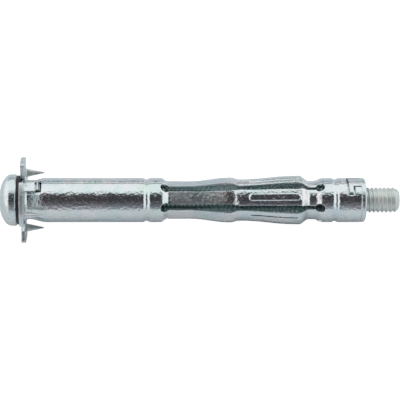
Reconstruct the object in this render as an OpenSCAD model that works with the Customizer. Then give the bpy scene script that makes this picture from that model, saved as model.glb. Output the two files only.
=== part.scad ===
// Hollow wall anchor: a slit sheet steel sleeve, rolled round a long pan head screw that turns
// in a nut at the sleeve's tail. Tightened behind a plasterboard wall, the four legs fold out.
// +X runs along the screw from the head to the tip, and x = 0 is the wall side of the collar.
// +Z is up, as the anchor lies on the corners of two collar lobes and on its tail.

/* [Sheet and barrel] */
// Thickness of the steel sheet
sheet = 0.8; // [0.6:0.05:0.9]
// Outside diameter of the rolled barrel
barrel_d = 8.4; // [8.2:0.1:9]
// Length of the barrel, from the wall side of the collar to the slots
barrel_l = 25.4; // [20:0.2:34]
// Width of the seam that is left where the rolled sheet meets
seam_w = 0.12; // [0.05:0.01:0.3]
// Distance from the barrel's rolled groove to the slots
groove_back = 2.6; // [1.6:0.1:6]
// Width of a rolled groove
groove_w = 1.4; // [0.8:0.1:2]
// Depth of a rolled groove
groove_deep = 0.26; // [0.1:0.02:0.32]

/* [Collar] */
// Diameter over the tips of the collar lobes
collar_d = 16.2; // [15:0.2:20]
// Bend radius where the collar turns into the neck, on the wall side
collar_bend = 0.6; // [0.3:0.1:0.9]
// Outside diameter of the neck behind the collar
neck_d = 7.25; // [7.1:0.05:7.6]
// Length over which the neck widens to the barrel
neck_l = 3.9; // [3:0.1:6]
// Radius at the bottom of the gaps between the lobes
gap_r = 4.4; // [4.3:0.05:4.6]
// Angles from the seam between which a wide lobe runs at its rim
wide_lobe = [23, 87];
// Angles from the seam between which a narrow lobe runs at its rim
narrow_lobe = [-49, -3];
// Angle from the seam of the fold line of the spike on a wide lobe
wide_spike_a = 74; // [68:1:80]
// Length of a spike, from the wall side of the collar
spike_l = 3.5; // [2:0.1:5]
// Width of a spike at its root
spike_w = 1.55; // [1:0.05:1.9]
// Inside bend radius at the root of a spike
spike_bend = 0.15; // [0.1:0.05:0.3]

/* [Legs] */
// Length of the slots between the legs
slot_l = 31; // [28:0.5:40]
// Width of a leg in front of its knee
leg_w = 2.45; // [2:0.05:2.8]
// Width of a leg behind its knee
foot_w = 3.25; // [2.9:0.05:3.6]
// Outside diameter over the waist, where the legs are pressed in
waist_d = 7.2; // [7:0.05:7.6]
// Outside diameter over the knees
knee_d = 8.65; // [8.4:0.05:9.4]
// Outside diameter over the dips behind the knees
dip_d = 8; // [7.8:0.05:8.3]
// Outside diameter over the widest place, in front of the heels
bulge_d = 9.3; // [8.8:0.05:9.8]
// Outside diameter over the creases that hinge the legs to the tail
crease_d = 7.3; // [7.1:0.05:7.8]
// Length of the step from the barrel down to the waist
step_l = 1.5; // [1:0.1:2.5]
// Distance from the start of the slots to the knees
knee_x = 13.3; // [11:0.2:16]
// Distance from the end of the slots back to the creases
crease_back = 2.2; // [1.8:0.1:3]
// Length of the rib pressed into each leg behind the knee
rib_l = 9.9; // [6:0.1:11]
// Width of the rib
rib_w = 1.3; // [0.8:0.05:1.6]
// Height of the rib
rib_h = 0.16; // [0.08:0.02:0.24]

/* [Seam lock] */
// Angles from the seam between which the lock tongue and the nut's lug run
lock_span = [-13, 27];
// Length of the lock tongue behind the collar
tongue_l = 1.85; // [1.4:0.05:2.4]
// Height of the tongue's face over the barrel's
tongue_rise = 0.12; // [0:0.02:0.3]
// Length of the relief window behind the tongue
window_l = 1.2; // [0.8:0.1:1.6]

/* [Nut] */
// Length of the tail collar that grips the nut
tail_l = 7; // [6.4:0.2:10]
// Length of the nut inside the sleeve
nut_l = 6.2; // [5:0.2:6.6]
// Thickness of the nut's rim behind the sleeve
rim_t = 0.9; // [0.6:0.1:1.5]
// Length of the lug that stops the nut from turning
lug_l = 2.4; // [1.6:0.1:2.8]
// Clearance round the lug in its notch
lug_gap = 0.22; // [0.1:0.02:0.4]
// Distance from the tail's rolled groove to the sleeve's end
crimp_back = 4.8; // [4.4:0.1:5]

/* [Screw] */
// Outside diameter of the thread
screw_d = 4.8; // [4.4:0.05:5]
// Length of the screw under its head
screw_l = 72.5; // [70:0.5:90]
// Diameter of the pan head
head_d = 9.75; // [8.8:0.05:10.5]
// Height of the pan head
head_h = 3.2; // [2.6:0.1:4]
// Height of the straight rim of the head
head_rim = 1; // [0.5:0.1:1.6]
// Diameter of the cross recess at the face of the head
recess_d = 4.6; // [3.6:0.1:5.4]
// Depth of the cross recess
recess_deep = 2; // [1.4:0.1:2.4]
// Width of a wing of the cross recess
wing_w = 0.9; // [0.7:0.05:1.2]
// Diameter of the black washer under the head
washer_d = 9.3; // [8.8:0.05:10.4]
// Thickness of the black washer
washer_t = 0.8; // [0.5:0.1:1.5]
// Radial clearance of the thread in the nut and of the screw in the washer
running_gap = 0.05; // [0.02:0.01:0.1]
// Radial clearance of the nut in the sleeve
seat_gap = 0.02; // [0:0.01:0.05]

/* [Hidden] */
$fn = 96;
eps = 0.01;
far = 30;
barrel_r = barrel_d / 2;
neck_r = neck_d / 2;
collar_r = collar_d / 2;
leg_count = 4;
roll_a = 170;
start_a = 50;
slot_end = barrel_l + slot_l;
sleeve_l = slot_end + tail_l;
crease_x = slot_end - crease_back;
bulge_x = crease_x - 2;
dip_x = barrel_l + knee_x + 2.4;
spike_r = gap_r + spike_w / 2 + 0.1;
head_base = -sheet - washer_t;
recess_neck = 0.8;
shape_steps = 6;

function back(p) = [for (i = [len(p) - 1 : -1 : 0]) p[i]];

// The line p, as [radius, x], moved out by d
function raised(p, d) = [for (q = p) [q[0] + d, q[1]]];

// Smooth step from radius r1 at x1 to radius r2 at x2, without its first point
function ease(r1, x1, r2, x2) = [
    for (i = [1 : shape_steps])
    let (t = i / shape_steps)
    [r1 + (r2 - r1) * (1 - cos(180 * t)) / 2, x1 + (x2 - x1) * t]
];

// Rolled groove in a wall of radius r, centred at x
function groove(r, x) = [
    for (i = [0 : 2 * shape_steps])
    let (t = i / (2 * shape_steps))
    [r - groove_deep * (1 - cos(360 * t)) / 2, x + groove_w * (t - 0.5)]
];

// Bend from the collar into the neck, with radius r on the side that faces the wall
function collar_turn(r) = [
    for (i = [0 : shape_steps])
    let (a = 90 * i / shape_steps)
    [neck_r + collar_bend - r * sin(a), collar_bend - r * cos(a)]
];

// The legs' outside, from the slots' start to their end
function leg_line() = concat(
    [[barrel_r, barrel_l + 0.1]],
    ease(barrel_r, barrel_l + 0.1, waist_d / 2, barrel_l + step_l),
    ease(waist_d / 2, barrel_l + 0.42 * knee_x, knee_d / 2, barrel_l + knee_x),
    ease(knee_d / 2, barrel_l + knee_x, dip_d / 2, dip_x),
    foot_line()
);

// The legs' outside behind the dip
function foot_line() = concat(
    [[dip_d / 2, dip_x + 0.4]],
    ease(dip_d / 2, dip_x + 0.4, bulge_d / 2, bulge_x - 1),
    ease(bulge_d / 2, bulge_x - 0.4, crease_d / 2, crease_x),
    ease(crease_d / 2, crease_x + 0.2, barrel_r, slot_end - 0.1)
);

// The sleeve's outside, from the neck to the tail's end
function sleeve_line() = concat(
    ease(neck_r, collar_bend + 0.1, barrel_r, neck_l),
    groove(barrel_r, barrel_l - groove_back),
    leg_line(),
    groove(barrel_r, sleeve_l - crimp_back),
    [[barrel_r, sleeve_l]]
);

// Turns a shape built up the Z axis to lie along X, rolled so that two lobes stand on the floor
module laid() {
    rotate([0, 90, 0])
        rotate([0, 0, roll_a])
            children();
}

// Flat wedge between angles a1 and a2
module wedge(a1, a2) {
    mid = (a1 + a2) / 2;
    polygon([
        [0, 0],
        far * [cos(a1), sin(a1)],
        1.3 * far * [cos(mid), sin(mid)],
        far * [cos(a2), sin(a2)]
    ]);
}

// Sector from angle a1 to a2 between radius r1 and r2, from height z1 to z2
module sector(a1, a2, r1, r2, z1, z2) {
    translate([0, 0, z1])
        linear_extrude(z2 - z1)
            intersection() {
                wedge(a1, a2);
                difference() {
                    circle(r2);
                    circle(r1);
                }
            }
}

// Ring wall, one sheet thick, from the rim of the collar to the tail's end
module rolled_wall() {
    rotate([0, 0, start_a])
        rotate_extrude()
            polygon(concat(
                [[collar_r, 0]],
                collar_turn(collar_bend),
                sleeve_line(),
                back(raised(sleeve_line(), -sheet)),
                back(collar_turn(collar_bend + sheet)),
                [[collar_r, -sheet]]
            ));
}

// Room beside a leg, in the plane of its length and width, with round ends
module slot_side() {
    root_w = barrel_r * sin(180 / leg_count);
    end_r = root_w - leg_w / 2;
    foot_end_r = root_w - foot_w / 2;
    knee_start = barrel_l + knee_x - 0.3;
    translate([barrel_l + end_r, root_w])
        circle(end_r);
    translate([slot_end - foot_end_r, root_w])
        circle(foot_end_r);
    polygon([
        [barrel_l + end_r, leg_w / 2],
        [knee_start, leg_w / 2],
        [dip_x, foot_w / 2],
        [slot_end - foot_end_r, foot_w / 2],
        [slot_end - foot_end_r, root_w + 1],
        [barrel_l + end_r, root_w + 1]
    ]);
    translate([barrel_l, root_w])
        square([slot_l, far]);
}

// Stands a flat outline of length and width up the Z axis, reaching out from the axis at angle a
module stood_at(a) {
    rotate([0, 0, a])
        rotate([0, -90, 0])
            translate([0, 0, -far])
                linear_extrude(far)
                    children();
}

// The four slots, each the room between two neighbouring legs
module slots() {
    step_a = 360 / leg_count;
    for (i = [0 : leg_count - 1])
        intersection() {
            stood_at(step_a * (i - 0.5))
                slot_side();
            stood_at(step_a * (i + 0.5))
                mirror([0, 1])
                    slot_side();
        }
}

// Round-ended outline of the rib on a leg, narrower all round by less
module rib_outline(less) {
    start = bulge_x - 0.3 - rib_l;
    r = rib_w / 2 - less;
    translate([start + rib_w / 2, 0])
        circle(r);
    translate([start + rib_l - rib_w / 2, 0])
        circle(r);
    translate([start + rib_w / 2, -r])
        square([rib_l - rib_w, 2 * r]);
}

// The ribs, pressed out of the legs, or the hollows behind them, between two lifts of the legs' outside
module ribs(less, low, high) {
    intersection() {
        rotate([0, 0, start_a])
            rotate_extrude()
                polygon(concat(raised(foot_line(), high), back(raised(foot_line(), low))));
        for (i = [0 : leg_count - 1])
            stood_at(180 / leg_count + 360 / leg_count * i)
                rib_outline(less);
    }
}

// Openings between the collar's lobes, over half a turn
module collar_gaps() {
    narrow_end = narrow_lobe[0] + 180;
    translate([0, 0, -sheet - 1])
        linear_extrude(sheet + 1 + collar_bend)
            difference() {
                union() {
                    wedge(narrow_lobe[1], wide_lobe[0]);
                    wedge(wide_lobe[1], narrow_end);
                    intersection() {
                        wedge(wide_spike_a, narrow_end - 1);
                        circle(spike_r + spike_w / 2 + 0.15);
                    }
                }
                circle(gap_r);
            }
}

// Triangular spike that is folded back from a lobe; hand is 1 where its gap lies at smaller angles
module spike(a, hand) {
    outer = spike_bend + sheet;
    rotate([0, 0, a])
        mirror([0, hand, 0])
            translate([spike_r, 0, 0]) {
                intersection() {
                    translate([-spike_w / 2, 0, spike_bend])
                        rotate([0, 90, 0])
                            difference() {
                                cylinder(h = spike_w, r = outer);
                                translate([0, 0, -eps])
                                    cylinder(h = spike_w + 2 * eps, r = spike_bend);
                            }
                    translate([-spike_w / 2, -eps, -sheet])
                        cube([spike_w, outer + 2 * eps, outer]);
                }
                translate([0, outer, spike_bend - eps])
                    rotate([90, 0, 0])
                        linear_extrude(sheet)
                            polygon([
                                [-spike_w / 2, 0],
                                [spike_w / 2, 0],
                                [0.12, spike_l - spike_bend],
                                [-0.05, spike_l - spike_bend]
                            ]);
            }
}

// Cut through the wall along the seam, in front of the slots and behind them
module seam() {
    half_a = asin(seam_w / 2 / barrel_r);
    overlap = sheet + 2;
    translate([0, 0, -sheet - 1])
        linear_extrude(sheet + 1 + barrel_l + overlap)
            wedge(-half_a, half_a);
    translate([0, 0, slot_end - overlap])
        linear_extrude(overlap + tail_l + 1)
            wedge(-half_a, half_a);
}

module sleeve() {
    color([0.78, 0.8, 0.83])
        laid() {
            difference() {
                rolled_wall();
                slots();
                seam();
                lock_room();
                for (turn = [0, 180])
                    rotate([0, 0, turn])
                        collar_gaps();
                lug_notch(lug_gap);
                ribs(0.15, -sheet - 1, rib_h - sheet);
            }
            ribs(0, -sheet / 2, rib_h);
            for (turn = [0, 180])
                rotate([0, 0, turn]) {
                    spike(wide_spike_a, 0);
                    spike(narrow_lobe[0] + 180, 1);
                }
            lock_tongue();
        }
}

// Room beside the lock tongue and the relief window behind it
module lock_room() {
    inner = barrel_r - 2 * sheet;
    sector(lock_span[0] - 3, 0, inner, barrel_r + 1, -sheet - 1, tongue_l + 0.1);
    sector(lock_span[0], lock_span[1], inner, barrel_r + 1, tongue_l, tongue_l + window_l);
}

// Tongue of one sheet edge that reaches over the other
module lock_tongue() {
    r = barrel_r + tongue_rise;
    sector(lock_span[0], lock_span[1], r - sheet, r, 0.2 - sheet, tongue_l);
}

// The nut's lug, or with a clearance the notch for it in the tail
module lug_notch(gap) {
    gap_a = gap / barrel_r * 180 / PI;
    sector(
        lock_span[0] - 14 - gap_a, lock_span[1] + 3 + gap_a,
        barrel_r - sheet - 0.5, barrel_r + (gap > 0 ? 1 : -eps),
        sleeve_l - lug_l - gap, sleeve_l + (gap > 0 ? 1 : rim_t / 3)
    );
}

module nut() {
    inside = raised(groove(barrel_r, sleeve_l - crimp_back), -sheet - seat_gap);
    body_r = barrel_r - sheet - seat_gap;
    corner = rim_t / 2;
    color([0.7, 0.72, 0.75])
        laid()
            difference() {
                union() {
                    rotate_extrude()
                        polygon(concat(
                            [[0, sleeve_l - nut_l], [body_r - 0.2, sleeve_l - nut_l], [body_r, sleeve_l - nut_l + 0.2]],
                            inside,
                            [[body_r, sleeve_l], [barrel_r, sleeve_l]],
                            [for (a = [0 : 15 : 90])
                                [barrel_r - corner * (1 - cos(a)), sleeve_l + corner * (1 + sin(a))]],
                            [[0, sleeve_l + rim_t]]
                        ));
                    lug_notch(0);
                }
                translate([0, 0, -eps])
                    cylinder(h = sleeve_l + rim_t + 1, r = screw_d / 2 + running_gap);
            }
}

// Half section of the screw, as [radius, x]
function screw_line() = concat(
    [[0, head_base - head_h]],
    [for (a = [15 : 7.5 : 90])
        [head_d / 2 * sin(a), head_base - head_rim - (head_h - head_rim) * cos(a) / cos(15)]],
    [
        [head_d / 2, head_base - 0.2],
        [head_d / 2 - 0.2, head_base],
        [screw_d / 2, head_base],
        [screw_d / 2, head_base + screw_l - 0.7],
        [screw_d / 2 - 0.6, head_base + screw_l],
        [0, head_base + screw_l]
    ]
);

// Cross recess, opening towards -Z at the height of the head's face
module cross_recess() {
    translate([0, 0, -eps])
        intersection() {
            cylinder(h = recess_deep, r1 = recess_d / 2, r2 = recess_neck);
            for (turn = [0, 90])
                rotate([0, 0, turn])
                    translate([-far / 2, -wing_w / 2, -1])
                        cube([far, wing_w, recess_deep + 2]);
        }
    translate([0, 0, -eps])
        cylinder(h = recess_deep + 0.3, r1 = 1.15, r2 = 0.3);
}

module screw() {
    color([0.74, 0.76, 0.8])
        laid()
            difference() {
                rotate_extrude()
                    polygon(screw_line());
                translate([0, 0, head_base - head_h])
                    cross_recess();
            }
}

module spacer_washer() {
    color([0.08, 0.08, 0.09])
        laid()
            translate([0, 0, head_base])
                difference() {
                    cylinder(h = washer_t, d = washer_d);
                    translate([0, 0, -eps])
                        cylinder(h = washer_t + 2 * eps, r = screw_d / 2 + running_gap);
                }
}

sleeve();
nut();
screw();
spacer_washer();
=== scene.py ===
import bmesh
import bpy
import numpy as np
from mathutils import Matrix, Vector


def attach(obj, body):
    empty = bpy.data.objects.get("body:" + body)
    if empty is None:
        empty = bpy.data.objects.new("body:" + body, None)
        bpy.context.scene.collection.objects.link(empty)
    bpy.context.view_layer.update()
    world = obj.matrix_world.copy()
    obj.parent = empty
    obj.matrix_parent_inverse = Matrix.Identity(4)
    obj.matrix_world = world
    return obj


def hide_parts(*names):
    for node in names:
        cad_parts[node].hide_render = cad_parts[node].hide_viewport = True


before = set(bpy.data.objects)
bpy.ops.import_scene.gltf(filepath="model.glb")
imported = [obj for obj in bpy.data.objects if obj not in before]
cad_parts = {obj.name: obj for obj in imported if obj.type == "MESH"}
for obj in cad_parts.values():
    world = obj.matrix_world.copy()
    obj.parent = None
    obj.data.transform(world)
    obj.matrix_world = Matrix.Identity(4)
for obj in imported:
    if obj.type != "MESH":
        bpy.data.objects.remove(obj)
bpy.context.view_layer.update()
mm = 0.001
rollAngle = 170  # how far the seam is rolled round from straight down
print("frame loaded:", ", ".join(sorted(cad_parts)))


# Point at distance x along the screw, radius r and angle a from the seam in degrees:
# across is r times the sine of the rolled angle, up is minus r times its cosine.
def roundAxis(x, r, a):
    turned = np.radians(a + rollAngle)
    return np.stack(np.broadcast_arrays(x, r * np.sin(turned), -r * np.cos(turned)), axis=-1) * mm


# Half cosine step: 0 before x0, 1 after x1, and half of 1 minus the cosine between them.
def softStep(x, x0, x1):
    t = np.clip((x - x0) / (x1 - x0), 0, 1)
    return (1 - np.cos(np.pi * t)) / 2


# Marks with the stretches between them cut into even steps no longer than step.
def spaced(marks, step):
    stretches = [
        np.linspace(a, b, int(np.ceil(abs(b - a) / step - 0.001)) + 1)[:-1]
        for a, b in zip(marks[:-1], marks[1:])
    ]
    return np.concatenate(stretches + [np.array(marks[-1:], float)])


# Skin of a closed sheet between two grids of points. Each kept cell gives a face of the outer
# grid and one of the inner grid, and each border of the kept cells a face across the thickness.
def sheetSkin(outer, inner, keep, wrap=False):
    rows, cols = outer.shape[:2]
    index = np.arange(rows * cols).reshape(rows, cols)
    if wrap:
        index = np.concatenate([index, index[:, :1]], axis=1)
    below = rows * cols
    cell = np.stack([index[:-1, :-1], index[:-1, 1:], index[1:, 1:], index[1:, :-1]], axis=-1)
    kept = cell[keep]
    sides = np.pad(keep, ((1, 1), (0, 0)))
    rowEdge = sides[1:] != sides[:-1]
    i, j = np.nonzero(rowEdge)
    acrossRows = np.stack([index[i, j], index[i, j + 1], index[i, j + 1] + below, index[i, j] + below], -1)
    ends = np.pad(keep, ((0, 0), (1, 1)), mode="wrap" if wrap else "constant")
    colEdge = ends[:, 1:] != ends[:, :-1]
    if wrap:
        colEdge[:, -1] = False
    i, j = np.nonzero(colEdge)
    acrossCols = np.stack([index[i, j], index[i + 1, j], index[i + 1, j] + below, index[i, j] + below], -1)
    points = np.concatenate([outer.reshape(-1, 3), inner.reshape(-1, 3)])
    return points, np.concatenate([kept, kept[:, ::-1] + below, acrossRows, acrossCols])


# Skin of a turned body: the closed half section (x, r) is carried round the axis in even steps.
def turnedSkin(x, r, steps):
    a = np.arange(steps) * 360 / steps
    points = roundAxis(x[:, None], r[:, None], a[None, :])
    rows = len(x)
    index = np.arange(rows * steps).reshape(rows, steps)
    after = np.roll(index, -1, axis=0)
    cell = np.stack([index, np.roll(index, -1, axis=1), np.roll(after, -1, axis=1), after], -1)
    return points.reshape(-1, 3), cell.reshape(-1, 4)


# Round corner of a half section: quarter circle of radius size about (x, r), from angle a to b.
def corner(x, r, size, a, b, steps=5):
    t = np.radians(np.linspace(a, b, steps + 1))
    return x + size * np.cos(t), r + size * np.sin(t)


# Joins half section stretches, each an (x, r) pair of numbers or of arrays.
def section(*stretches):
    x = np.concatenate([np.atleast_1d(np.asarray(s[0], float)) for s in stretches])
    r = np.concatenate([np.atleast_1d(np.asarray(s[1], float)) for s in stretches])
    return x, r


# Takes skins to one clean object: doubles merged, unused points dropped, faces outward, edges
# rounded, then smooth with sharp creases where faces meet at more than creaseAngle.
def makePiece(name, skins, finish, bevel=None, creaseAngle=40):
    starts = np.cumsum([0] + [len(points) for points, _ in skins])
    points = np.concatenate([p for p, _ in skins])
    faces = np.concatenate([f + start for (_, f), start in zip(skins, starts)])
    mesh = bpy.data.meshes.new(name)
    mesh.from_pydata(points, [], faces.tolist())
    work = bmesh.new()
    work.from_mesh(mesh)
    bmesh.ops.remove_doubles(work, verts=work.verts, dist=0.0003 * mm)
    unused = [vertex for vertex in work.verts if not vertex.link_faces]
    bmesh.ops.delete(work, geom=unused, context="VERTS")
    bmesh.ops.recalc_face_normals(work, faces=work.faces)
    work.to_mesh(mesh)
    work.free()
    piece = bpy.data.objects.new(name, mesh)
    bpy.context.scene.collection.objects.link(piece)
    if bevel:
        rounding = piece.modifiers.new("rounding", "BEVEL")
        rounding.width = bevel * mm
        rounding.segments = 2
        rounding.limit_method = "ANGLE"
        rounding.angle_limit = np.radians(60)
        rounding.use_clamp_overlap = False
        applyModifiers(piece)
    piece.data.materials.clear()
    piece.data.materials.append(finish)
    smoothWithCreases(piece, creaseAngle)
    return piece


# Turns the piece's modifiers into its mesh.
def applyModifiers(piece):
    bpy.context.view_layer.update()
    final = piece.evaluated_get(bpy.context.evaluated_depsgraph_get())
    mesh = bpy.data.meshes.new_from_object(final)
    piece.modifiers.clear()
    old = piece.data
    piece.data = mesh
    bpy.data.meshes.remove(old)
    mesh.name = piece.name


# Smooth shading, with sharp edges where faces meet at more than creaseAngle.
def smoothWithCreases(piece, creaseAngle):
    mesh = piece.data
    mesh.polygons.foreach_set("use_smooth", np.ones(len(mesh.polygons), bool))
    mesh.set_sharp_from_angle(angle=np.radians(creaseAngle))
    mesh.update()


# A value on its way through the nodes: sums written on it add Math nodes.
class Wire:
    def __init__(self, tree, socket):
        self.tree = tree
        self.socket = socket

    def maths(self, operation, first, second):
        node = self.tree.nodes.new("ShaderNodeMath")
        node.operation = operation
        for value, socket in zip((first, second), node.inputs):
            if isinstance(value, Wire):
                self.tree.links.new(value.socket, socket)
            else:
                socket.default_value = value
        return Wire(self.tree, node.outputs[0])

    def __add__(self, other):
        return self.maths("ADD", self, other)

    def __radd__(self, other):
        return self.maths("ADD", other, self)

    def __sub__(self, other):
        return self.maths("SUBTRACT", self, other)

    def __rsub__(self, other):
        return self.maths("SUBTRACT", other, self)

    def __mul__(self, other):
        return self.maths("MULTIPLY", self, other)

    def __rmul__(self, other):
        return self.maths("MULTIPLY", other, self)

    def __truediv__(self, other):
        return self.maths("DIVIDE", self, other)

    def __rtruediv__(self, other):
        return self.maths("DIVIDE", other, self)

    def __pow__(self, other):
        return self.maths("POWER", self, other)

    def __rpow__(self, other):
        return self.maths("POWER", other, self)


# One node tree of a material or of the world.
class Finish:
    def __init__(self, owner):
        owner.use_nodes = True
        self.owner = owner
        self.tree = owner.node_tree
        self.tree.nodes.clear()

    # Any node: its type, its settings, then the values or wires of its sockets.
    def node(self, kind, settings=None, sockets=None, out=0):
        node = self.tree.nodes.new("ShaderNode" + kind)
        for key, value in (settings or {}).items():
            if key == "stops":
                self.setStops(node.color_ramp, value)
            else:
                setattr(node, key, value)
        for key, value in (sockets or {}).items():
            if isinstance(value, Wire):
                self.tree.links.new(value.socket, node.inputs[key])
            else:
                node.inputs[key].default_value = value
        return Wire(self.tree, node.outputs[out]) if len(node.outputs) else node

    def setStops(self, ramp, stops):
        while len(ramp.elements) < len(stops):
            ramp.elements.new(0.5)
        for element, (place, colour) in zip(ramp.elements, stops):
            element.position = place
            element.color = (*colour, 1)

    def noise(self, where, size, detail=2.0, rough=0.5):
        return self.node("TexNoise", {}, {"Vector": where, "Scale": 1 / (size * mm), "Detail": detail,
                                          "Roughness": rough}, out=0)

    # The three parts of a vector: along the screw, across it and up.
    def axes(self, where):
        parts = self.node("SeparateXYZ", {}, {"Vector": where}).socket.node
        return [Wire(self.tree, output) for output in parts.outputs]

    # Smooth step from 0 at low to 1 at high.
    def ramp(self, value, low, high):
        return self.node("MapRange", {"interpolation_type": "SMOOTHSTEP"},
                         {"Value": value, "From Min": low, "From Max": high}, out=0)

    def blend(self, factor, first, second):
        return self.node("Mix", {"data_type": "RGBA"}, {0: factor, 6: first, 7: second}, out=2)


# Bright zinc plating, for all the steel.
zincLook = {
    "cool": (0.67, 0.76, 0.79, 1),
    "warm": (0.80, 0.80, 0.82, 1),
    "green": (0.64, 0.76, 0.71, 1),
    "pit": (0.38, 0.42, 0.43, 1),
    "cloudSize": 4.5,      # mm
    "cloudSpan": (0.35, 0.65),
    "cloudMatte": 0.14,
    "greenSize": 2.7,      # mm
    "greenSpan": (0.52, 0.70),
    "greenShare": 0.7,
    "grainSize": 0.55,     # mm
    "grainHeight": 0.095,  # mm
    "fineShare": 0.25,     # of the grain's height that its finest crystals make
    "pitSpan": (0.26, 0.38),
    "pitShare": 0.2,
    "pitMatte": 0.15,
    "speckSize": 0.34,     # mm, of the frosted specks between the bright crystals
    "speckSpan": (0.54, 0.62),
    "speckMatte": 0.17,
    "drawnLength": 1.1,    # mm, of the marks that rolling drew along the sheet
    "waveHeight": 0.045,   # mm
    "roughness": 0.03,
}


# Bright zinc: cloudy cool, warm and green tints, pits, a fine grain of raised crystals, and low
# waves that bend what the metal mirrors. The function dull gives what roughness a place adds, and
# the function dark gives where painted shade darkens the colour towards a shade colour of the look.
def zincFinish(name, look, grain=1.0, matte=0.0, dull=None, dark=None):
    finish = Finish(bpy.data.materials.new(name))
    where = finish.node("TexCoord", out=3)
    drawn = finish.node("Mapping", {}, {"Vector": where, "Scale": (0.3, 1.0, 1.0)})
    clouds = finish.noise(where, look["cloudSize"], 3, 0.6)
    hues = finish.noise(where, look["greenSize"], 2, 0.5)
    waves = finish.noise(drawn, look["drawnLength"], 2, 0.5)
    coarse = finish.noise(where, look["grainSize"], 1, 0.4)
    fine = finish.noise(where, look["grainSize"] * 0.35, 2, 0.6)
    specks = finish.ramp(finish.noise(where, look["speckSize"], 1, 0.5), *look["speckSpan"])
    colour = finish.blend(finish.ramp(clouds, *look["cloudSpan"]), look["cool"], look["warm"])
    colour = finish.blend(finish.ramp(hues, *look["greenSpan"]) * look["greenShare"], colour, look["green"])
    pits = 1 - finish.ramp(coarse, *look["pitSpan"])
    colour = finish.blend(pits * look["pitShare"], colour, look["pit"])
    # Painted shade: where dark gives 1, the colour goes to a darker blue-green that stands in for shade.
    if dark:
        colour = finish.blend(dark(finish, where), colour, look["paintedShade"])
    wavy = finish.node("Bump", {}, {"Strength": 1.0, "Distance": look["waveHeight"] * mm, "Height": waves})
    bump = finish.node("Bump", {}, {
        "Strength": 1.0, "Distance": look["grainHeight"] * grain * mm,
        "Height": coarse * (1 - look["fineShare"]) + fine * look["fineShare"], "Normal": wavy})
    roughness = clouds * look["cloudMatte"] + pits * look["pitMatte"] + specks * look["speckMatte"]
    roughness = roughness + (look["roughness"] + matte)
    if dull:
        roughness = roughness + dull(finish, where)
    shader = finish.node("BsdfPrincipled", {}, {"Base Color": colour, "Metallic": 1.0,
                                                "Roughness": roughness, "Normal": bump})
    finish.node("OutputMaterial", {}, {"Surface": shader})
    return finish.owner


dullLook = {
    "collar": 0.26,
    "collarR": (4.35, 4.6),   # where the collar's dullness begins and is full
    "collarEnd": (4, 5),
    "waist": 0.2,
    "waistStart": (27.0, 27.3),
    "waistEnd": (37.0, 38.6),
}


# Duller zinc on the sheet: on the collar and its spikes, and where a leg's waist is pressed.
def pressedDull(finish, where):
    x, y, up = finish.axes(where)
    span = {key: np.array(value) * mm for key, value in dullLook.items()}
    radius = (y * y + up * up) ** 0.5
    collar = finish.ramp(radius, *span["collarR"]) * (1 - finish.ramp(x, *span["collarEnd"]))
    waist = finish.ramp(x, *span["waistStart"]) * (1 - finish.ramp(x, *span["waistEnd"]))
    return collar * dullLook["collar"] + waist * dullLook["waist"]


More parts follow.
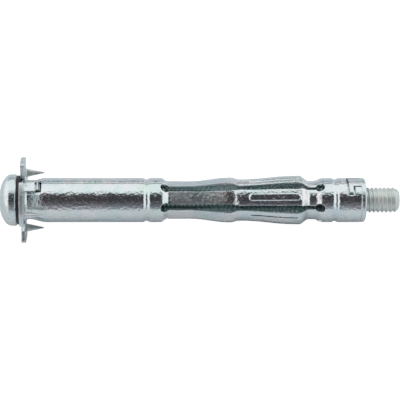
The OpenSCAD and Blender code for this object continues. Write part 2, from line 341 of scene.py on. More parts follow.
# The sleeve, lengths in mm and angles in degrees from its seam.
sleeveSize = {
    "sheet": 0.8,
    "barrelR": 4.2,
    "barrelL": 25.4,
    "slotL": 31.0,
    "tailL": 7.0,
    "seamW": 0.12,
    "grooveW": 1.4,
    "grooveDeep": 0.26,
    "frontGroove": 22.8,
    "tailGroove": 58.6,
    "collarR": 8.1,
    "collarBend": 0.6,
    "neckR": 3.625,
    "neckL": 3.9,
    "gapR": 4.4,
    "lobeColumns": ((22, 82), (131, 180), (202, 262), (311, 360)),
    # at each angle, how far the collar's columns move round to where the lobes and their spikes end
    "lobeShift": ((0, 0), (22, 1), (41, 0), (74, 0), (82, 5), (101, 0), (161, 0), (180, -3),
                  (191, 0), (202, 1), (221, 0), (254, 0), (262, 5), (281, 0), (341, 0), (360, -3)),
    "shiftFade": (0.6, 1.6),    # x between which the barrel's columns lose that shift
    "lobeCorner": 0.45,
    "spikeFolds": ((74, 0), (131, 1), (254, 0), (311, 1)),  # angle, and 1 where it folds the other way
    "spikeR": 5.275,
    "spikeL": 3.5,
    "spikeW": 1.55,
    "spikeBend": 0.15,
    "spikeDish": 0.16,
    "spikeThin": 0.7,    # share of a spike's thickness that is gone at its tip
    "spikeTip": (-0.05, 0.12),  # its two sides at the tip, inward and outward of its middle
    "spikeRoot": 0.3,           # how far it reaches into the collar
    "spikeRoom": 6.2,
    "spikeGaps": ((74, 90), (254, 270)),
    "legs": 6,
    "firstSlot": 11,     # from the seam to the middle of the slot that it runs into
    "slotColumns": (0, 3, 5.3, 7.6, 9.6, 11),
    "legColumns": (0, 3, 6, 7.1, 8.3, 9.5, 11, 14, 17, 19),
    "lead": 1.75,        # length over which rows bend round a slot's end
    "legW": 2.45,
    "footW": 3.1,
    "stepEnd": 26.9,
    "flatness": 0.75,    # of a leg's waist: 0 is as round as the barrel, 1 is flat across
    "footFlatness": 0.15,
    "holeR": 0.85,
    "waistR": 3.6,
    "kneeR": 4.325,
    "dipR": 3.95,
    "bulgeR": 4.65,
    "creaseR": 3.65,
    "waistEnd": 30.99,
    "kneeX": 38.7,
    "dipX": 40.4,
    "bulgeStart": 40.8,
    "bulgeFull": 51.2,
    "bulgeEnd": 51.8,
    "creaseX": 53.7,
    "creaseEnd": 54.45,
    "shoulder": 0.2,     # from where the tail is full to the end of the slotted length
    "pressStart": (-0.3, 0.7),  # from a slot's start, where the flat pressing begins and is full
    "pressFade": 52.7,
    "ribStart": 42.0,
    "ribL": 9.9,
    "ribW": 1.3,
    "ribH": 0.16,
    "ribFlank": 0.16,
    "tongue": (-13, 27),
    "tongueL": 1.85,
    "tongueRise": 0.12,
    "tongueFoot": 0.2,
    "tongueGap": 0.05,
    "tongueSlack": 3,
    "tongueRoomR": 5.2,
    "windowEnd": 3.05,
    "tab": (-7, 21),
    "tabEnd": 2.8,
    "tabDrop": 0.55,
    "tabLap": 0.12,
    "tabSheet": 0.4,
    "notch": (-30, 35),
    "notchX": 60.65,
    "hookX": 62.15,
    "hookA": 11,
    "rounding": 0.09,
}


# Outside radius along the sleeve: the barrel's radius with a half cosine step at each change of
# width, less a cosine dip at each rolled groove.
def sleeveRadius(x, z):
    start = z["barrelL"]
    end = start + z["slotL"]
    r = z["neckR"] + (z["barrelR"] - z["neckR"]) * softStep(x, z["collarBend"] + 0.1, z["neckL"])
    r = r + (z["waistR"] - z["barrelR"]) * softStep(x, start + 0.1, z["stepEnd"])
    r = r + (z["kneeR"] - z["waistR"]) * softStep(x, z["waistEnd"], z["kneeX"])
    r = r + (z["dipR"] - z["kneeR"]) * softStep(x, z["kneeX"], z["dipX"])
    r = r + (z["bulgeR"] - z["dipR"]) * softStep(x, z["bulgeStart"], z["bulgeFull"])
    r = r + (z["creaseR"] - z["bulgeR"]) * softStep(x, z["bulgeEnd"], z["creaseX"])
    r = r + (z["barrelR"] - z["creaseR"]) * softStep(x, z["creaseEnd"], end - z["shoulder"])
    for groove in (z["frontGroove"], z["tailGroove"]):
        t = np.clip((x - groove) / z["grooveW"], -0.5, 0.5)
        r = r - z["grooveDeep"] * (1 + np.cos(2 * np.pi * t)) / 2
    return r


# Half the room between two legs of width w at radius r: r times the sine of what is left of half
# the pitch between legs once the arc sine of half a leg over the radius is taken off.
def roomHalf(r, w, z):
    return r * np.sin(np.pi / z["legs"] - np.arcsin(w / 2 / r))


# The first and last place where a slot's sides run, between its round start and its relief hole.
def slotReach(z):
    return z["barrelL"] + roomHalf(z["barrelR"], z["legW"], z), z["barrelL"] + z["slotL"] - z["holeR"]


# Half the width of a slot at x, in its own plane: straight stretches between the places where the
# legs go out and in, half a circle before them and the relief hole's circle behind them.
def slotHalfWidth(x, z):
    first, last = slotReach(z)
    startR = first - z["barrelL"]
    waist = roomHalf(z["waistR"], z["legW"], z)
    half = np.interp(
        x,
        [first, z["stepEnd"], z["waistEnd"], z["kneeX"] - 0.3, z["dipX"], z["bulgeFull"], z["creaseX"]],
        [startR, waist, waist, roomHalf(z["kneeR"], z["legW"], z), roomHalf(z["dipR"], z["footW"], z),
         roomHalf(z["bulgeR"], z["footW"], z), roomHalf(z["creaseR"], z["footW"], z)])
    hole = np.sqrt(np.clip(z["holeR"]**2 - (x - last)**2, 0, None))
    half = np.where(x > last, hole, np.maximum(half, hole))
    return np.where(x < first, np.sqrt(np.clip(startR**2 - (x - first)**2, 0, None)), half)


# Rows of the sleeve from the collar's rim to the tail's end: the outside and inside places of the
# flat collar and of its bend, on arcs about one centre, and then the x of the long rows.
def sleeveRows(z):
    rim = z["collarR"] - np.array([0, 0.13, 0.28, 0.45])
    bend = z["collarBend"]
    middle = z["neckR"] + bend
    flat = np.concatenate([rim, spaced([rim[-1], z["spikeRoom"], z["gapR"], middle], 0.5)[1:]])
    turn = np.radians(np.linspace(0, 90, 7))[1:-1]
    first, last = slotReach(z)
    lead = z["lead"]
    groove = z["grooveW"] / 2
    rib = z["ribStart"]
    ribEnd = rib + z["ribL"]
    end = z["barrelL"] + z["slotL"] + z["tailL"]
    long = np.concatenate([
        spaced([bend, 1.2, z["tongueL"] + z["tongueGap"], z["windowEnd"], z["neckL"]], 0.35),
        spaced([z["neckL"] + 1, z["frontGroove"] - groove - 0.3], 2),
        spaced([z["frontGroove"] - groove, z["frontGroove"] + groove], 0.12),
        [z["frontGroove"] + groove + 0.5],
        first - lead + np.linspace(0, lead, 9),
        spaced([first + 0.14, z["stepEnd"] + 0.05], 0.14),
        spaced([z["stepEnd"] + 0.6, z["waistEnd"], z["kneeX"] - 0.9], 0.6),
        spaced([z["kneeX"] - 0.7, z["kneeX"], z["dipX"], z["bulgeStart"], rib - 0.08], 0.2),
        spaced([rib, rib + 0.8], 0.1),
        spaced([rib + 1.2, ribEnd - 1.2], 0.55),
        spaced([ribEnd - 0.8, ribEnd], 0.1),
        spaced([ribEnd + 0.12, z["creaseX"], z["creaseEnd"], last - 0.12], 0.15),
        last + np.linspace(0, lead, 9),
        spaced([z["tailGroove"] - groove, z["tailGroove"] + groove], 0.12),
        spaced([z["tailGroove"] + groove + 0.4, z["notchX"], z["hookX"], end], 0.35),
    ])
    thick = bend + z["sheet"]
    outer = (np.concatenate([0 * flat, bend - bend * np.cos(turn)]),
             np.concatenate([flat, middle - bend * np.sin(turn)]))
    inner = (np.concatenate([0 * flat - z["sheet"], bend - thick * np.cos(turn)]),
             np.concatenate([flat, middle - thick * np.sin(turn)]))
    return outer, inner, long, len(flat)


# Columns of the sleeve, slot by slot and leg by leg: the angle from the seam where nothing draws
# them in, the middle of their slot or leg, their side of it from -1 to 1, whether they lie in a
# slot, how far the collar shifts them, and 1 or -1 at a lobe's two edges with an even run between.
# The first slot's near side stops at the seam.
def sleeveColumns(z):
    slotSide = np.array(z["slotColumns"])
    slotSide = np.concatenate([-slotSide[:0:-1], slotSide])
    legSide = np.array(z["legColumns"])
    legSide = np.concatenate([-legSide[:0:-1], legSide])
    pitch = 360 / z["legs"]
    parts = []
    for k in range(z["legs"]):
        slot = z["firstSlot"] + pitch * k
        leg = slot + pitch / 2
        inner = slotSide[(0 if k == 0 else 1):-1]
        parts.append(np.stack([slot + inner, 0 * inner + slot, inner / slotSide[-1], 0 * inner + 1]))
        parts.append(np.stack([leg + legSide, 0 * legSide + leg, legSide / legSide[-1], 0 * legSide]))
    angle, middle, side, inSlot = np.concatenate(parts, axis=1)
    shift = np.interp(angle, *np.transpose(z["lobeShift"]))
    lobeEnds = np.ravel(z["lobeColumns"])
    edge = np.interp(angle, np.append(0, lobeEnds), np.append(0, np.tile([1, -1], len(lobeEnds) // 2)))
    return {"angle": angle, "middle": middle, "side": side, "inSlot": inSlot > 0, "shift": shift,
            "edge": edge}


# Angles of the flat collar and its bend. The columns at the lobes' edges move to where the lobes
# end, and at the rim they draw in by a quarter circle, for round corners.
def collarAngles(outer, flatRows, columns, z):
    x, r = outer
    depth = np.clip(z["lobeCorner"] - (z["collarR"] - r), 0, z["lobeCorner"])
    cut = z["lobeCorner"] - np.sqrt(z["lobeCorner"]**2 - depth**2)
    cut = np.where(np.arange(len(x)) < flatRows, np.degrees(cut / r), 0)
    return columns["angle"] + columns["shift"] + cut[:, None] * columns["edge"] + seamSide(columns, z)


# What the two columns at the seam stand back from it.
def seamSide(columns, z):
    half = np.degrees(z["seamW"] / 2 / z["barrelR"])
    return np.where(columns["angle"] == 0, half, 0) - np.where(columns["angle"] == 360, half, 0)


# Places (x, angle) of the long rows. Near a slot its columns bend so that the last row runs round
# the slot's end: a half circle about the first or last place of its straight sides.
def longGrid(long, columns, z):
    first, last = slotReach(z)
    startR = first - z["barrelL"]
    lead = z["lead"]
    halfSeam = np.degrees(z["seamW"] / 2 / z["barrelR"])
    pull = softStep(long, first - lead, first) * (1 - softStep(long, last, last + lead))
    side = columns["side"]
    near = (columns["middle"] == z["firstSlot"]) & columns["inSlot"] & (side < 0)
    places = []
    slotEnds = ((startR, -1, first, z["barrelL"]), (z["holeR"], 1, last, last + z["holeR"]))
    for radius, sign, foot, at in slotEnds:
        toSeam = sleeveRadius(at, z) * np.sin(np.radians(z["firstSlot"] - halfSeam)) / radius
        place = np.where(near, side * toSeam, side)
        reach = foot + sign * radius * np.sqrt(1 - np.minimum(place**2, 1))
        places.append((place, np.where(columns["inSlot"], reach, foot)))
    (startSide, startX), (endSide, endX) = places
    row = long[:, None]
    x = row + np.clip((row - first + lead) / lead, 0, 1) * (startX - first) * (row <= first)
    x = x + np.clip((last + lead - row) / lead, 0, 1) * (endX - last) * (row >= last)
    r = sleeveRadius(x, z)
    half = slotHalfWidth(np.clip(row, first, last), z)
    legSpan = 180 / z["legs"] - np.degrees(np.arcsin(half / r))
    slotSide = np.where(row <= first, startR * startSide, z["holeR"] * endSide)
    target = np.where(columns["inSlot"], np.degrees(np.arcsin(slotSide / r)), side * legSpan)
    plain = columns["angle"] - columns["middle"]
    angle = columns["middle"] + plain + (target - plain) * pull[:, None]
    angle = np.where(columns["angle"] == 0, halfSeam, angle)
    opening = np.degrees(np.arcsin(slotHalfWidth(row, z) / r))
    edge = 360 + z["firstSlot"] - opening
    edge = np.where((row > first) & (row < last), edge, np.minimum(edge, 360 - halfSeam))
    lastLeg = (columns["middle"] == columns["middle"][-1]) & ~columns["inSlot"] & (side > 0)
    angle = np.where(lastLeg, columns["middle"] + side * (edge - columns["middle"]), angle)
    fade = 1 - softStep(long, *z["shiftFade"])
    pressed = pressedIn(x, r, angle - columns["middle"], legSpan, z)
    return x, r - np.where(columns["inSlot"], 0, pressed), angle + fade[:, None] * columns["shift"]


# What the pressing takes off a leg's radius: at angle t from its middle, a plane through edges at
# angle h has the cosine of h over the cosine of t of the edges' radius.
def pressedIn(x, r, t, h, z):
    first, last = slotReach(z)
    behindKnee = softStep(x, z["kneeX"] - 0.4, z["dipX"])
    amount = z["flatness"] + (z["footFlatness"] - z["flatness"]) * behindKnee
    low, high = z["pressStart"]
    amount = amount * softStep(x, first + low, first + high) * (1 - softStep(x, z["pressFade"], last))
    flat = r * np.cos(np.radians(h)) / np.cos(np.radians(t))
    return amount * np.maximum(r - flat, 0)


# Height of the pressed rib: full inside a round ended outline about the leg's middle, and a half
# cosine flank over its border.
def ribLift(x, side, z):
    reach = z["ribL"] / 2 - z["ribW"] / 2
    beyond = np.maximum(np.abs(x - z["ribStart"] - z["ribL"] / 2) - reach, 0)
    inside = z["ribW"] / 2 - np.hypot(beyond, side)
    return z["ribH"] * softStep(inside, 0, z["ribFlank"])


# The sheet: the collar's rows and the long rows as one grid, outside and a sheet's depth inside.
def sleeveSkin(z):
    outer, inner, long, flatRows = sleeveRows(z)
    columns = sleeveColumns(z)
    collar = collarAngles(outer, flatRows, columns, z)
    x, r, angle = longGrid(long, columns, z)
    offAxis = r * np.sin(np.radians(angle - columns["middle"]))
    lift = np.where(columns["inSlot"], 0, ribLift(x, offAxis, z))
    grids = []
    for (headX, headR), depth in ((outer, 0), (inner, z["sheet"])):
        head = roundAxis(headX[:, None], headR[:, None], collar)
        grids.append(np.concatenate([head, roundAxis(x, r + lift - depth, angle)]))
    rowX = np.concatenate([outer[0], long])
    rowR = np.concatenate([outer[1], sleeveRadius(long, z)])
    return sheetSkin(grids[0], grids[1], sleeveCells(rowX, rowR, flatRows, columns, z), wrap=True)


# True where an angle lies inside one of the spans.
def within(angle, spans):
    return np.any([(angle > low) & (angle < high) for low, high in spans], axis=0)


# Which cells of the grid are steel: all but the gaps between the lobes, the room of the spikes,
# the slots, the seam, the lock's window and the notch in the tail.
def sleeveCells(rowX, rowR, flatRows, columns, z):
    x = (rowX[:-1] + rowX[1:])[:, None] / 2
    r = (rowR[:-1] + rowR[1:])[:, None] / 2
    a = columns["angle"]
    middle = np.append((a[:-1] + a[1:]) / 2, 360)[None, :]
    pitch = 360 / z["legs"]
    fromSlot = (middle - z["firstSlot"] + pitch / 2) % pitch - pitch / 2
    first, last = slotReach(z)
    flat = (np.arange(len(rowX) - 1) < flatRows - 1)[:, None] & (r > z["gapR"])
    spikeRoom = within(middle, z["spikeGaps"]) & (r < z["spikeRoom"])
    keep = np.where(flat, within(middle, z["lobeColumns"]) & ~spikeRoom, True)
    keep &= ~((x > first) & (x < last) & (np.abs(fromSlot) < z["slotColumns"][-1]))
    keep &= middle < 360
    turned = (middle + 180) % 360 - 180
    tongueEnd = z["tongueL"] + z["tongueGap"]
    low, high = z["tongue"]
    beside = (turned > low - z["tongueSlack"]) & (turned < 0)
    keep &= ~(beside & (x < tongueEnd) & (r < z["tongueRoomR"]))
    keep &= ~((turned > low) & (turned < high) & (x > tongueEnd) & (x < z["windowEnd"]))
    low, high = z["notch"]
    keep &= ~((turned > low) & (turned < high) & (x > z["notchX"]) & (x < z["hookX"]))
    keep &= ~((turned > low) & (turned < z["hookA"]) & (x > z["hookX"]))
    return keep


# Spike folded back from a lobe's side: the sheet turns a quarter circle out of the collar's plane
# and runs on straight along x, its width narrowing evenly to the tip and its face a little dished.
def spikeSkin(fold, hand, z):
    bend, sheet = z["spikeBend"], z["sheet"]
    turn = np.radians(np.linspace(0, 90, 7))
    run = np.linspace(bend, z["spikeL"], 8)[1:]
    across = np.linspace(0, 1, 6)[None, :]
    taper = np.concatenate([np.zeros(8), (run - bend) / (z["spikeL"] - bend)])[:, None]
    low = -z["spikeW"] / 2 * (1 - taper) + z["spikeTip"][0] * taper
    high = z["spikeW"] / 2 * (1 - taper) + z["spikeTip"][1] * taper
    radius = z["spikeR"] + low + (high - low) * across
    middle = bend + sheet / 2
    grids = []
    for reach in (bend + sheet, bend):
        side = np.concatenate([[-z["spikeRoot"]], reach * np.sin(turn), reach + 0 * run])[:, None]
        side = middle + (side - middle) * (1 - z["spikeThin"] * taper)
        side = side - z["spikeDish"] * (1 - taper) * softStep(taper, 0, 0.15) * (1 - (2 * across - 1)**2)
        x = np.concatenate([[bend - reach], bend - reach * np.cos(turn), run])[:, None]
        sign = -1 if hand else 1
        base = np.radians(fold + rollAngle)
        outward = np.array([0, np.sin(base), -np.cos(base)])
        along = np.array([0, np.cos(base), np.sin(base)]) * sign
        grids.append(((radius[..., None] * outward + side[..., None] * along)
                      + (x + 0 * radius)[..., None] * np.array([1, 0, 0])) * mm)
    keep = np.ones((grids[0].shape[0] - 1, grids[0].shape[1] - 1), bool)
    return sheetSkin(grids[0], grids[1], keep)


# Tongue of one sheet edge that reaches over the other: a plate bent round the axis.
def tongueSkin(z):
    low, high = z["tongue"]
    a = spaced([low, high], 3)[None, :]
    x = spaced([z["tongueFoot"] - z["sheet"], z["tongueL"]], 0.4)[:, None]
    r = z["barrelR"] + z["tongueRise"]
    keep = np.ones((x.shape[0] - 1, a.shape[1] - 1), bool)
    return sheetSkin(roundAxis(x, r, a), roundAxis(x, r - z["sheet"], a), keep)


# Tab at the tongue's end that curls through the window: its radius is least at the tongue and at
# the tab's end, and a cosine wave brings it up between them.
def tabSkin(z):
    low, high = z["tab"]
    a = spaced([low, high], 3.5)[None, :]
    x = spaced([z["tongueL"] - z["tabLap"], z["tabEnd"]], 0.1)[:, None]
    start = z["tongueL"] + z["tongueGap"]
    wave = np.cos(2 * np.pi * (x - start) / (z["tabEnd"] - start))
    r = z["barrelR"] - z["tabDrop"] * (1 + wave) / 2
    keep = np.ones((x.shape[0] - 1, a.shape[1] - 1), bool)
    return sheetSkin(roundAxis(x, r, a), roundAxis(x, r - z["tabSheet"], a), keep)


zincSheet = zincFinish("zincSheet", zincLook, dull=pressedDull)
sleeve = makePiece(
    "sleeveSheet",
    [sleeveSkin(sleeveSize), tongueSkin(sleeveSize), tabSkin(sleeveSize)]
    + [spikeSkin(fold, hand, sleeveSize) for fold, hand in sleeveSize["spikeFolds"]],
    zincSheet, bevel=sleeveSize["rounding"])
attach(sleeve, "anchor")
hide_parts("sleeve")
print("sleeve:", len(sleeve.data.polygons), "faces")


# The nut in the tail, in mm.
nutSize = {
    "start": 57.2,
    "end": 64.3,
    "sleeveEnd": 63.4,
    "rimR": 4.2,
    "bodyR": 3.38,
    "boreR": 2.45,
    "edge": 0.32,
    "bodyEdge": 0.2,
    "rimEdge": 0.1,
    "mouth": (0.4, 0.45),   # depth and width of the bore's chamfer
    "lug": (-27, 30),
    "lugX": 61.0,
    "lugFootX": 61.85,
    "lugFootA": 8,
    "lugR": 4.19,
    "lugBottomR": 2.9,
    "lugLap": 0.3,
}


# Half section: the body in the sleeve, the rim behind it with round edges, and the bore.
def nutSkin(n):
    e, rim, body = n["edge"], n["rimEdge"], n["bodyEdge"]
    mouthDeep, mouthWide = n["mouth"]
    x, r = section(
        (n["start"], n["boreR"]), (n["start"], n["bodyR"] - body), (n["start"] + body, n["bodyR"]),
        (n["sleeveEnd"], n["bodyR"]), (n["sleeveEnd"], n["rimR"] - 0.12),
        corner(n["sleeveEnd"] + rim, n["rimR"] - rim, rim, 180, 90, 3),
        corner(n["end"] - e, n["rimR"] - e, e, 90, 0),
        (n["end"], n["boreR"] + mouthWide), (n["end"] - mouthDeep, n["boreR"]),
    )
    return turnedSkin(x, r, 96)


# Lug in the tail's notch: a plate bent round the axis, with a foot at its inner end.
def lugSkin(n):
    low, high = n["lug"]
    a = spaced([low, n["lugFootA"], high], 3)
    x = spaced([n["lugX"], n["lugFootX"], n["sleeveEnd"] + n["lugLap"]], 0.3)
    midA = (a[:-1] + a[1:])[None, :] / 2
    midX = (x[:-1] + x[1:])[:, None] / 2
    keep = (midA < n["lugFootA"]) | (midX < n["lugFootX"])
    outer = roundAxis(x[:, None], n["lugR"], a[None, :])
    return sheetSkin(outer, roundAxis(x[:, None], n["lugBottomR"], a[None, :]), keep)


zincNut = zincFinish("zincNut", zincLook, grain=0.6, matte=0.14)
nut = makePiece("threadedNut", [nutSkin(nutSize), lugSkin(nutSize)], zincNut, bevel=0.08)
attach(nut, "anchor")
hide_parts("nut")
print("nut:", len(nut.data.polygons), "faces")


# The screw, in mm.
screwSize = {
    "headBase": -1.6,
    "headTop": -4.8,
    "headR": 4.875,
    "domeMiddle": -2.65,
    "domeReach": 2.35,
    "threadR": 2.4,
    "rootR": 2.1,
    "pitch": 0.8,
    "tipX": 70.9,
    "tipTaper": 1.1,
    "tipDrop": 0.75,
    "crest": 0.08,        # half the crest's width, in turns
    "flank": 0.30,        # the flank's width, in turns
    "rootCurve": 1.15,
    "around": 48,
    "along": 10,
    "faceEdge": 0.15,
    "baseEdge": 0.3,
    "recessR": 2.3,
    "recessDeep": 2.0,
    "recessTip": 0.35,
    "recessTaper": 0.62,  # share of a wing's reach that is gone at the bottom
    "wingW": 0.9,
    "wingTaper": 0.2,
    "coneR": 0.95,
    "coneTaper": 0.6,
}


# Head: an ellipse about the dome's middle, cut off flat at the face, with round edges at its base.
def headSkin(s):
    faceR = s["headR"] * np.sqrt(1 - ((s["headTop"] - s["domeMiddle"]) / s["domeReach"])**2)
    t = np.linspace(np.arcsin(faceR / s["headR"]), np.pi / 2, 22)
    domeX = s["domeMiddle"] - s["domeReach"] * np.cos(t)
    domeR = s["headR"] * np.sin(t)
    x, r = section(
        (s["headBase"], 0), (s["headTop"], 0), (s["headTop"], 1.0), (s["headTop"], faceR - s["faceEdge"]),
        (domeX[1:], domeR[1:]),
        corner(s["headBase"] - s["baseEdge"], s["headR"] - s["baseEdge"], s["baseEdge"], 90, 0),
        (s["headBase"], s["threadR"]),
    )
    return turnedSkin(x, r, 96)


# Cross recess: in each direction the wall lies at the wing's end or at its side, whichever is
# nearer, or at the middle cone where that is wider, and all draw in with depth.
def recessSkin(s):
    a = np.linspace(0, 360, 192, endpoint=False)
    depth = np.linspace(-0.3, s["recessDeep"], 6)
    fall = (np.maximum(depth, 0) / s["recessDeep"])[:, None]
    turned = np.radians((a + 45) % 90 - 45)[None, :]
    reach = s["recessR"] * (1 - s["recessTaper"] * fall)
    half = s["wingW"] / 2 * (1 - s["wingTaper"] * fall)
    side = half / np.maximum(np.abs(np.sin(turned)), 0.0001)
    end = reach / np.cos(turned)
    cone = s["coneR"] * (1 - s["coneTaper"] * fall)
    r = np.maximum(np.minimum(side, end), cone)
    points = np.concatenate([
        roundAxis(s["headTop"] + depth[:1, None], 0 * r[:1], a[None, :]),
        roundAxis(s["headTop"] + depth[:, None], r, a[None, :]),
        roundAxis(s["headTop"] + depth[-1:, None] + s["recessTip"], 0 * r[-1:], a[None, :]),
    ])
    rows, cols = points.shape[:2]
    index = np.arange(rows * cols).reshape(rows, cols)
    cell = np.stack([index[:-1], np.roll(index, -1, 1)[:-1], np.roll(index, -1, 1)[1:], index[1:]], -1)
    return points.reshape(-1, 3), cell.reshape(-1, 4)


# Thread: a grid sheared so that its rows follow the helix. Along a turn x grows by one pitch, the
# radius follows a flat crest, straight flanks and a round root, and the tip draws it in.
def threadSkin(s):
    around, along = s["around"], s["along"]
    first = s["headBase"] - 0.1
    turns = int(np.ceil((s["tipX"] - first) / s["pitch"])) + 3
    row = np.arange(turns * along + 1)[:, None]
    col = np.arange(around + 1)[None, :]
    reach = first + s["pitch"] * (row / along + col / around - 2)
    x = np.clip(reach, first, s["tipX"])
    phase = (row / along) % 1
    flank = np.clip((np.abs(phase - 0.5) - s["crest"]) / s["flank"], 0, 1)
    r = s["threadR"] - (s["threadR"] - s["rootR"]) * (1 - (1 - flank)**s["rootCurve"]) + 0 * reach
    toTip = np.clip((x - s["tipX"] + s["tipTaper"]) / s["tipTaper"], 0, 1)
    r = np.minimum(r, s["threadR"] - s["tipDrop"] * toTip**2)
    cap = np.minimum(1 - (reach - s["tipX"]) / s["pitch"], 1 - (first - reach) / s["pitch"])
    r = r * np.clip(cap, 0, 1)
    points = roundAxis(x, r, col * 360 / around)
    rows, cols = points.shape[:2]
    index = np.arange(rows * cols).reshape(rows, cols)
    cell = np.stack([index[:-1, :-1], index[:-1, 1:], index[1:, 1:], index[1:, :-1]], -1)
    return points.reshape(-1, 3), cell.reshape(-1, 4)


threadTintAndShade = {
    "cool": (0.69, 0.75, 0.74, 1),
    "warm": (0.78, 0.80, 0.77, 1),
    "green": (0.64, 0.71, 0.68, 1),
    # painted shade: a darker blue-green for the thread inside the sleeve, and the x over which it fades out
    "paintedShade": (0.36, 0.49, 0.48, 1),
    "paintedShadeSpan": (62.5, 63.5),
}


# Painted shade: the thread is coloured a darker blue-green as far as the tail covers it, standing in for
# the shade inside the sleeve.
def threadPaintedShade(finish, where):
    start, end = threadTintAndShade["paintedShadeSpan"]
    return 1 - finish.ramp(finish.axes(where)[0], start * mm, end * mm)


zincScrew = zincFinish("zincScrew", zincLook, grain=0.4, matte=0.1)
# The thread's finish, with painted shade where the tail covers it.
zincThread = zincFinish("zincThread", {**zincLook, **threadTintAndShade}, grain=0.5, matte=0.3, dark=threadPaintedShade)
screw = makePiece("screwHead", [headSkin(screwSize)], zincScrew, creaseAngle=50)
cutter = makePiece("recessCutter", [recessSkin(screwSize)], zincScrew)
cut = screw.modifiers.new("recess", "BOOLEAN")
cut.operation = "DIFFERENCE"
cut.solver = "EXACT"
cut.object = cutter
applyModifiers(screw)
bpy.data.objects.remove(cutter)
smoothWithCreases(screw, 35)
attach(screw, "machine_screw")

thread = makePiece("screwThread", [threadSkin(screwSize)], zincThread, creaseAngle=60)
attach(thread, "machine_screw")
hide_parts("screw")
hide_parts("screw")
print("screw:", len(screw.data.polygons), "and", len(thread.data.polygons), "faces")


# The black washer, in mm.
washerSize = {
    "start": -1.6,
    "end": -0.8,
    "outerR": 4.65,
    "innerR": 2.45,
    "edge": 0.2,
    "innerEdge": 0.06,
}

washerLook = {
    "dark": (0.012, 0.012, 0.013, 1),
    "pale": (0.03, 0.03, 0.032, 1),
    "mottleSize": 0.5,     # mm
    "mottleHeight": 0.01,  # mm
    "roughness": 0.35,
}


# Half section: a flat ring with round edges outside and small ones inside.
def washerSkin(w):
    e, inner = w["edge"], w["innerEdge"]
    x, r = section(
        (w["start"] + inner, w["innerR"]), (w["start"], w["innerR"] + inner),
        corner(w["start"] + e, w["outerR"] - e, e, 180, 90),
        corner(w["end"] - e, w["outerR"] - e, e, 90, 0),
        (w["end"], w["innerR"] + inner), (w["end"] - inner, w["innerR"]),
    )
    return turnedSkin(x, r, 96)


# Satin black with a faint mottle in its colour, its gloss and its height.
def blackFinish(look):
    finish = Finish(bpy.data.materials.new("blackWasher"))
    where = finish.node("TexCoord", out=3)
    mottle = finish.noise(where, look["mottleSize"], 3, 0.6)
    colour = finish.blend(finish.ramp(mottle, 0.35, 0.7), look["dark"], look["pale"])
    bump = finish.node("Bump", {}, {
        "Strength": 0.6, "Distance": look["mottleHeight"] * mm, "Height": mottle})
    shader = finish.node("BsdfPrincipled", {}, {
        "Base Color": colour, "Roughness": mottle * 0.2 + look["roughness"], "Normal": bump})
    finish.node("OutputMaterial", {}, {"Surface": shader})
    return finish.owner


washer = makePiece("blackSpacer", [washerSkin(washerSize)], blackFinish(washerLook))
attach(washer, "head_washer")
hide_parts("spacer_washer")
print("washer:", len(washer.data.polygons), "faces")


# The floor, in mm.
stageSize = {
    "lobeX": -0.4, "lobeZ": -7.9,   # where the lobes stand
    "tailX": 64.0, "tailZ": -4.2,   # where the tail lies
    "gap": 0.02,
    "reach": 900,
    "pale": (0.92, 0.95, 0.98, 1),
    "seenShare": 0.7,               # of the plain white in what the camera sees of the floor
    "seenStrength": 1.35,
}


# Floor through the lobes' corners and the tail's underside.
def makeFloor(g):
    slope = (g["tailZ"] - g["lobeZ"]) / (g["tailX"] - g["lobeX"])
    side = np.array([[-1, -1], [1, -1], [1, 1], [-1, 1]]) * g["reach"]
    z = g["lobeZ"] + (side[:, 0] - g["lobeX"]) * slope - g["gap"]
    mesh = bpy.data.meshes.new("floor")
    mesh.from_pydata(np.column_stack([side, z]) * mm, [], [(0, 1, 2, 3)])
    floor = bpy.data.objects.new("floor", mesh)
    bpy.context.scene.collection.objects.link(floor)
    finish = Finish(bpy.data.materials.new("paleFloor"))
    seen = finish.node("LightPath", out=0)
    pale = finish.node("BsdfDiffuse", {}, {"Color": g["pale"]})
    white = finish.node("Emission", {}, {"Color": (1, 1, 1, 1), "Strength": g["seenStrength"]})
    mixed = finish.node("MixShader", {}, {0: seen * g["seenShare"], 1: pale, 2: white})
    finish.node("OutputMaterial", {}, {"Surface": mixed})
    mesh.materials.append(finish.owner)


# World: what the metal mirrors. The stops go round the screw from level on the camera's side (0),
# over the top (0.5), to level at the back (1). Directions along the screw are bright.
worldLook = {
    "stops": [
        (0.02, (0.60, 0.62, 0.66)),
        (0.04, (0.24, 0.24, 0.27)),
        (0.16, (0.145, 0.145, 0.16)),
        (0.26, (0.052, 0.047, 0.050)),
        (0.46, (0.066, 0.060, 0.062)),
        (0.51, (1.00, 1.05, 1.03)),
        (0.85, (0.98, 1.00, 1.00)),
        (0.885, (0.14, 0.18, 0.18)),
        (0.91, (0.14, 0.18, 0.18)),
        (0.935, (0.60, 0.60, 0.65)),
        (1.00, (0.55, 0.54, 0.60)),
    ],
    "ends": (1.05, 1.06, 1.05, 1),
    "endSpan": (0.45, 0.65),
}


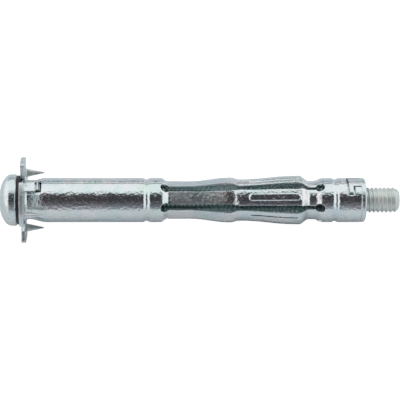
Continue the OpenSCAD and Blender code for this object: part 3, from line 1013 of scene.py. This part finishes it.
def makeWorld(look):
    world = bpy.data.worlds.new("studio")
    bpy.context.scene.world = world
    finish = Finish(world)
    along, y, up = finish.axes(finish.node("TexCoord", out=0))
    turn = up.maths("ARCTAN2", up, y * -1) / np.pi
    turn = finish.node("MapRange", {}, {"Value": turn, "From Min": 0.0, "From Max": 1.0})
    colour = finish.node("ValToRGB", {"stops": look["stops"]}, {"Fac": turn})
    sideways = along.maths("ABSOLUTE", along, 0.0)
    colour = finish.blend(finish.ramp(sideways, *look["endSpan"]), colour, look["ends"])
    dim = finish.node("Background", {}, {"Color": colour, "Strength": 1.0})
    white = finish.node("Background", {}, {"Color": (1, 1, 1, 1), "Strength": 1.0})
    seen = finish.node("LightPath", out=0)
    mixed = finish.node("MixShader", {}, {0: seen, 1: dim, 2: white})
    finish.node("OutputWorld", {}, {"Surface": mixed})


cameraView = {
    "footX": 19.67,      # where the line from the camera meets the screw squarely
    "distance": 294.5,
    "height": 52,        # degrees above the level
    "aimX": 32.97,
    "lens": 139.6,
    "sensor": 36,
}


# The camera stands over the foot point at its height and looks at the aim, level with the screw.
def makeCamera(c):
    high = np.radians(c["height"])
    place = Vector((c["footX"], -c["distance"] * np.cos(high), c["distance"] * np.sin(high)))
    forward = (Vector((c["aimX"], 0, 0)) - place).normalized()
    along = Vector((1, 0, 0))
    right = (along - forward * along.dot(forward)).normalized()
    up = right.cross(forward)
    camera = bpy.data.objects.new("camera", bpy.data.cameras.new("camera"))
    camera.data.sensor_width = c["sensor"]
    camera.data.lens = c["lens"]
    camera.data.clip_start = 0.01
    bpy.context.scene.collection.objects.link(camera)
    camera.matrix_world = Matrix((
        (*[right.x, up.x, -forward.x], place.x * mm),
        (*[right.y, up.y, -forward.y], place.y * mm),
        (*[right.z, up.z, -forward.z], place.z * mm),
        (0, 0, 0, 1),
    ))
    bpy.context.scene.camera = camera


makeFloor(stageSize)
makeWorld(worldLook)
makeCamera(cameraView)
bpy.context.scene.view_settings.view_transform = "Standard"
print("stage set")
